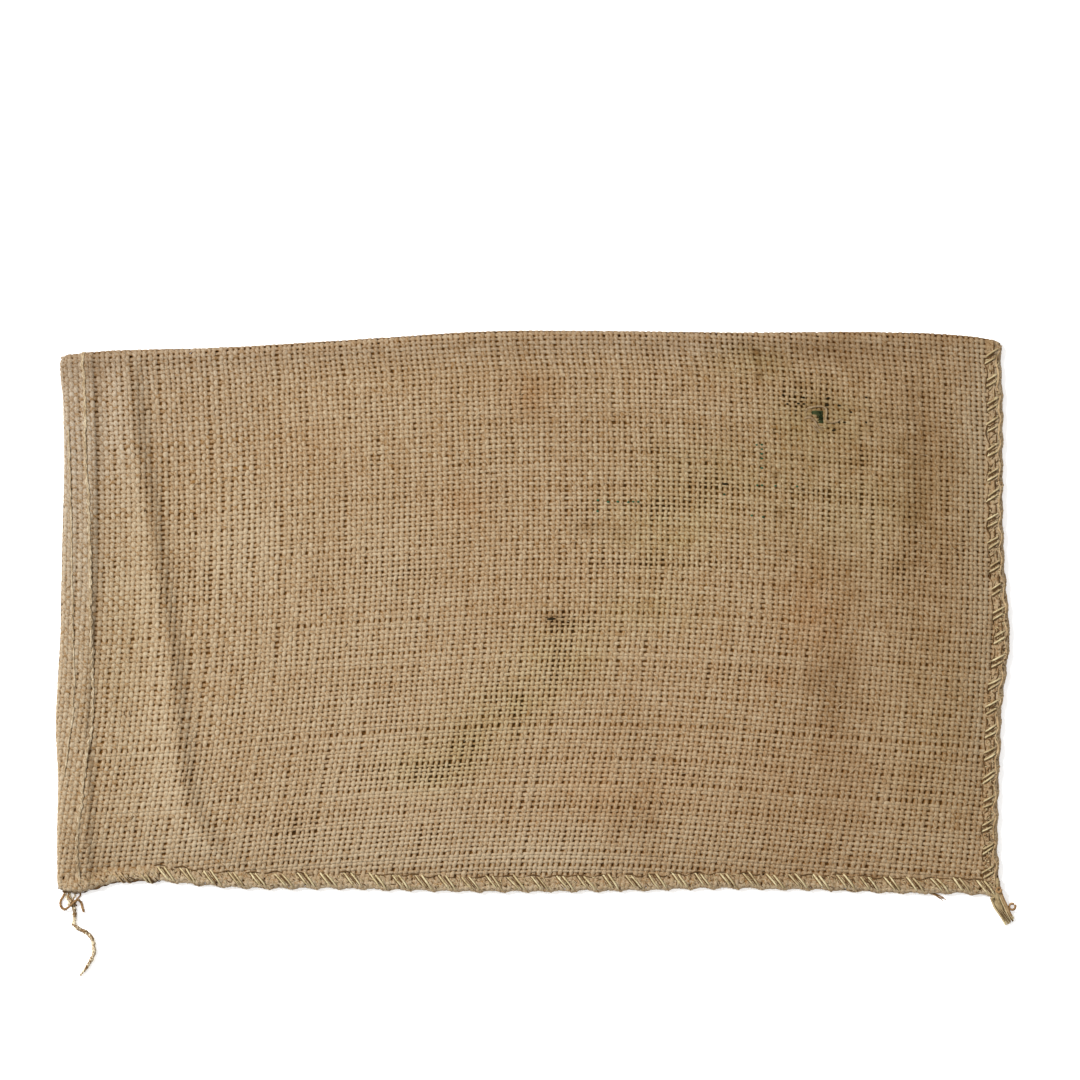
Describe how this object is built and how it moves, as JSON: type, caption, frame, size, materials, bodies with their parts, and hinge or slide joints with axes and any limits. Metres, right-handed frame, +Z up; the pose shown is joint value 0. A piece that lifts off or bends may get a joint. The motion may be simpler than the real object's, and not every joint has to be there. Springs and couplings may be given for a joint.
{
  "type": "burlap bag",
  "caption": "Small open jute sack lying empty on its back, folded along one long edge, overcast down the other and across the bottom, hemmed at the mouth.",
  "frame": {"origin": "bottom centre of the cloth's bounding box, on the surface it lies on", "axes": "+X from the open mouth to the sewn bottom, +Y from the side seam to the fold, +Z up through the two panels"},
  "size_m": [0.5079, 0.3421, 0.014],
  "materials": {
    "burlap": "coarse plain-woven jute, matte",
    "twine": "pale chain-stitched jute twine, matte",
    "loose_yarn": "single loose brown jute yarn, matte"
  },
  "bodies": {
    "root": {"sack_cloth": "burlap", "mouth_twine": "twine", "mouth_yarn": "loose_yarn", "corner_stub": "twine"}
  },
  "joints": []
}
